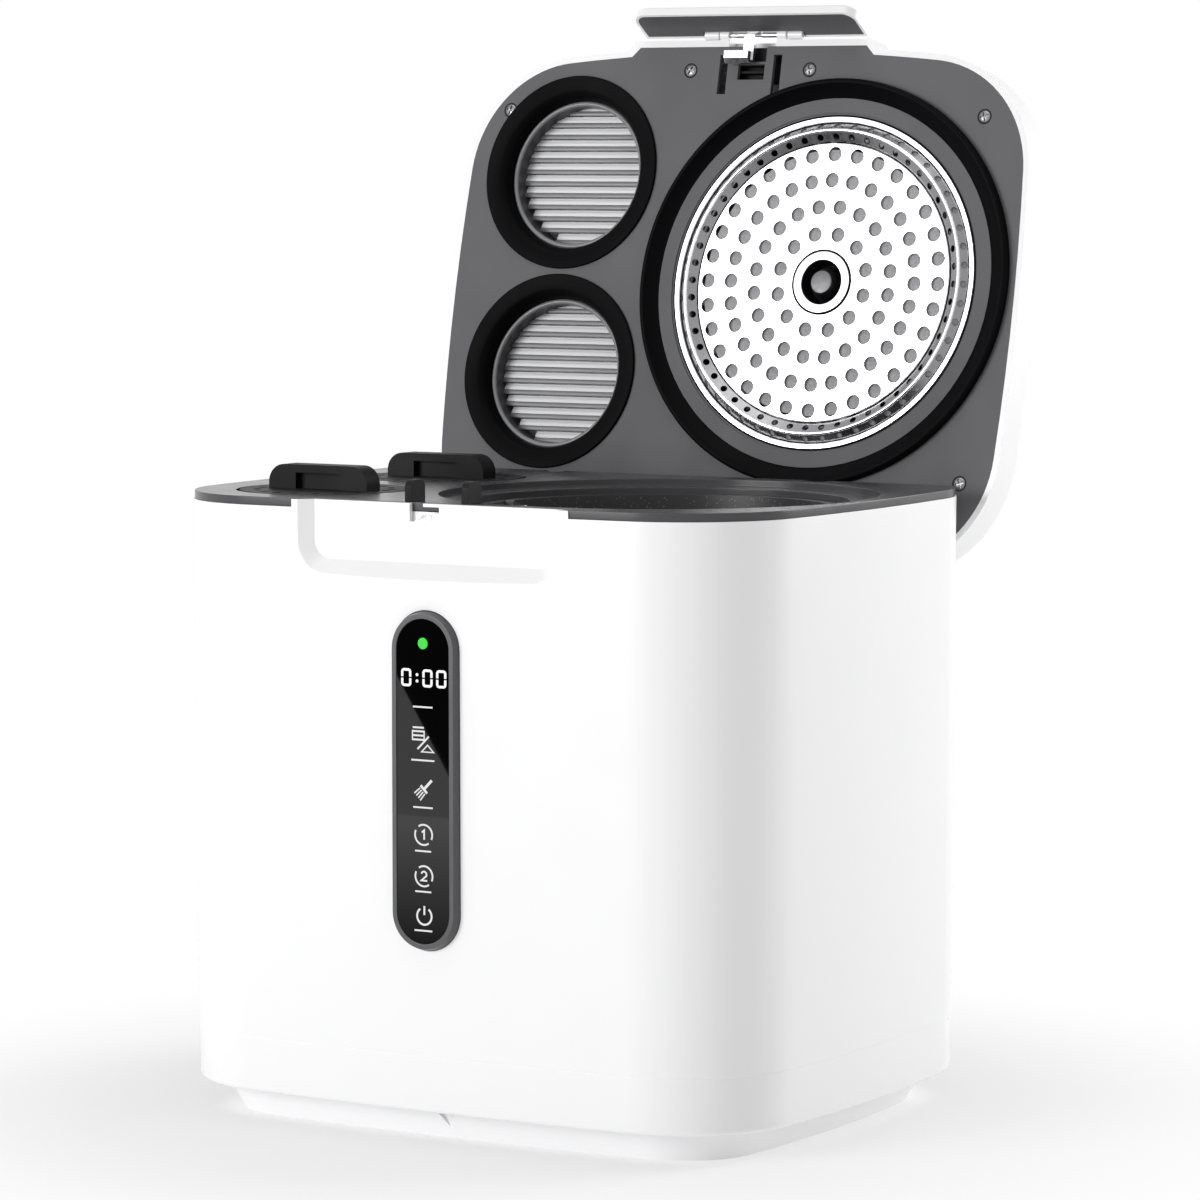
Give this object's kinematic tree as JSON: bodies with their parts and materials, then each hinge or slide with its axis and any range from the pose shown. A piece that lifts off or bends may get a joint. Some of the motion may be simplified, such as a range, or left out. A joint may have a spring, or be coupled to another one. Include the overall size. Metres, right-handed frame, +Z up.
{
  "type": "electric food waste composter",
  "caption": "Countertop food waste dryer and composter: lift-out bucket over a geared stirrer, twin lift-out filters, exhaust fan, and a rear-hinged lid standing open.",
  "frame": {"origin": "centre of the casing's plan, on the flat underside of its plinth", "axes": "+Z up, +X to the right as the user faces the panel, +Y to the rear"},
  "size_m": [0.34, 0.344, 0.5483],
  "materials": {
    "white_abs": "gloss white moulded plastic",
    "liner_grey": "satin dark grey moulded plastic",
    "deck_grey": "gloss dark grey moulded plastic",
    "dark_plastic": "fine textured near-black plastic",
    "bezel_grey": "satin dark grey plastic",
    "black_glass": "glossy black printed glass",
    "led_green": "lit green light pipe",
    "seal_rubber": "soft black silicone",
    "foot_rubber": "grey rubber pad",
    "steel": "satin stainless sheet",
    "bright_steel": "bright zinc-plated steel",
    "pot_aluminium": "cast aluminium with a dark non-stick coat",
    "heater_aluminium": "as-cast aluminium",
    "circuit_board": "green fibreglass board",
    "components": "moulded electronic components",
    "gear_nylon": "natural nylon",
    "bronze": "sintered bronze bush",
    "grille_grey": "light grey plastic"
  },
  "bodies": {
    "base": {"outer_shell": "white_abs", "base_tray": "white_abs", "anti_slip_feet": "foot_rubber", "deck_frame": "deck_grey", "lid_guide_fins": "dark_plastic", "latch_strike": "bright_steel", "panel_bezel": "bezel_grey", "panel_glass": "black_glass", "status_led": "led_green", "display_board": "circuit_board", "bucket_well": "heater_aluminium", "heater_plate": "heater_aluminium", "heating_element": "bright_steel", "gearbox_housing": "dark_plastic", "gearbox_cover": "dark_plastic", "output_bearings": "bronze", "idler_axle": "bright_steel", "shaft_seal": "seal_rubber", "drive_motor": "steel", "filter_wells": "dark_plastic", "air_duct": "dark_plastic", "fan_housing": "dark_plastic", "rear_vent_grille": "white_abs", "power_inlet": "dark_plastic", "main_circuit_board": "circuit_board", "board_components": "components", "hinge_brackets": "steel", "hinge_pins": "bright_steel", "lid_sensor": "dark_plastic", "case_screws": "bright_steel"},
    "lid": {"lid_shell": "white_abs", "lid_liner": "liner_grey", "latch_block": "dark_plastic", "lid_screws": "bright_steel", "bucket_seal": "seal_rubber", "steam_tray": "steel", "filter_disc": "steel", "hub_knob": "dark_plastic", "port_seals": "seal_rubber", "port_grilles": "grille_grey", "hinge_arms": "dark_plastic", "flap_pin": "bright_steel"},
    "flap": {"flap_shell": "white_abs", "flap_pad": "dark_plastic", "latch_hook": "bright_steel"},
    "bucket": {"bucket_pot": "pot_aluminium", "bucket_bush": "bronze"},
    "bail": {"bucket_bail": "bright_steel"},
    "mixer": {"stirrer_shaft": "steel", "stirrer_head": "pot_aluminium"},
    "output": {"output_gear": "gear_nylon", "output_shaft": "bright_steel"},
    "idler": {"idler_gear": "gear_nylon"},
    "pinion": {"motor_pinion": "bronze", "motor_shaft": "bright_steel"},
    "fan": {"fan_impeller": "dark_plastic"},
    "front_filter": {"front_filter_can": "dark_plastic", "front_filter_cap": "dark_plastic"},
    "rear_filter": {"rear_filter_can": "dark_plastic", "rear_filter_cap": "dark_plastic"}
  },
  "joints": [
    {"name": "lid_hinge", "type": "hinge", "parent": "base", "child": "lid", "pos_m": [0, 0.1075, 0.2906], "axis": [1, 0, 0], "range_deg": [0, 102.14]},
    {"name": "flap_hinge", "type": "hinge", "parent": "lid", "child": "flap", "pos_m": [0, 0.18025, 0.53369], "axis": [-1, 0, 0], "range_deg": [0, 30], "stiffness_Nm_per_rad": 0.03},
    {"name": "bucket_lift", "type": "slide", "parent": "base", "child": "bucket", "axis": [0, 0, -1], "range_m": [-0.18, 0]},
    {"name": "bail_hinge", "type": "hinge", "parent": "bucket", "child": "bail", "pos_m": [0.0563, -0.0148, 0.297], "axis": [1, 0, 0], "range_deg": [-90, 0]},
    {"name": "stirrer_spin", "type": "hinge", "parent": "bucket", "child": "mixer", "pos_m": [0.0563, -0.0148, 0.15], "axis": [0, 0, 1], "continuous": true},
    {"name": "output_spin", "type": "hinge", "parent": "base", "child": "output", "pos_m": [0.0563, -0.0148, 0.1], "axis": [0, 0, 1], "continuous": true},
    {"name": "idler_spin", "type": "hinge", "parent": "base", "child": "idler", "pos_m": [0.00205, -0.0148, 0.09], "axis": [0, 0, 1], "continuous": true},
    {"name": "motor_spin", "type": "hinge", "parent": "base", "child": "pinion", "pos_m": [0.00205, 0.03045, 0.06], "axis": [0, 0, 1], "continuous": true},
    {"name": "fan_spin", "type": "hinge", "parent": "base", "child": "fan", "pos_m": [-0.08, 0.115, 0.1], "axis": [0, 1, 0], "continuous": true},
    {"name": "front_filter_lift", "type": "slide", "parent": "base", "child": "front_filter", "axis": [0, 0, -1], "range_m": [-0.15, 0]},
    {"name": "rear_filter_lift", "type": "slide", "parent": "base", "child": "rear_filter", "axis": [0, 0, -1], "range_m": [-0.15, 0]}
  ],
  "couplings": [
    {"joint": "idler_spin", "follows": "output_spin", "ratio": -5},
    {"joint": "motor_spin", "follows": "output_spin", "ratio": 20},
    {"joint": "stirrer_spin", "follows": "output_spin", "ratio": 1}
  ]
}
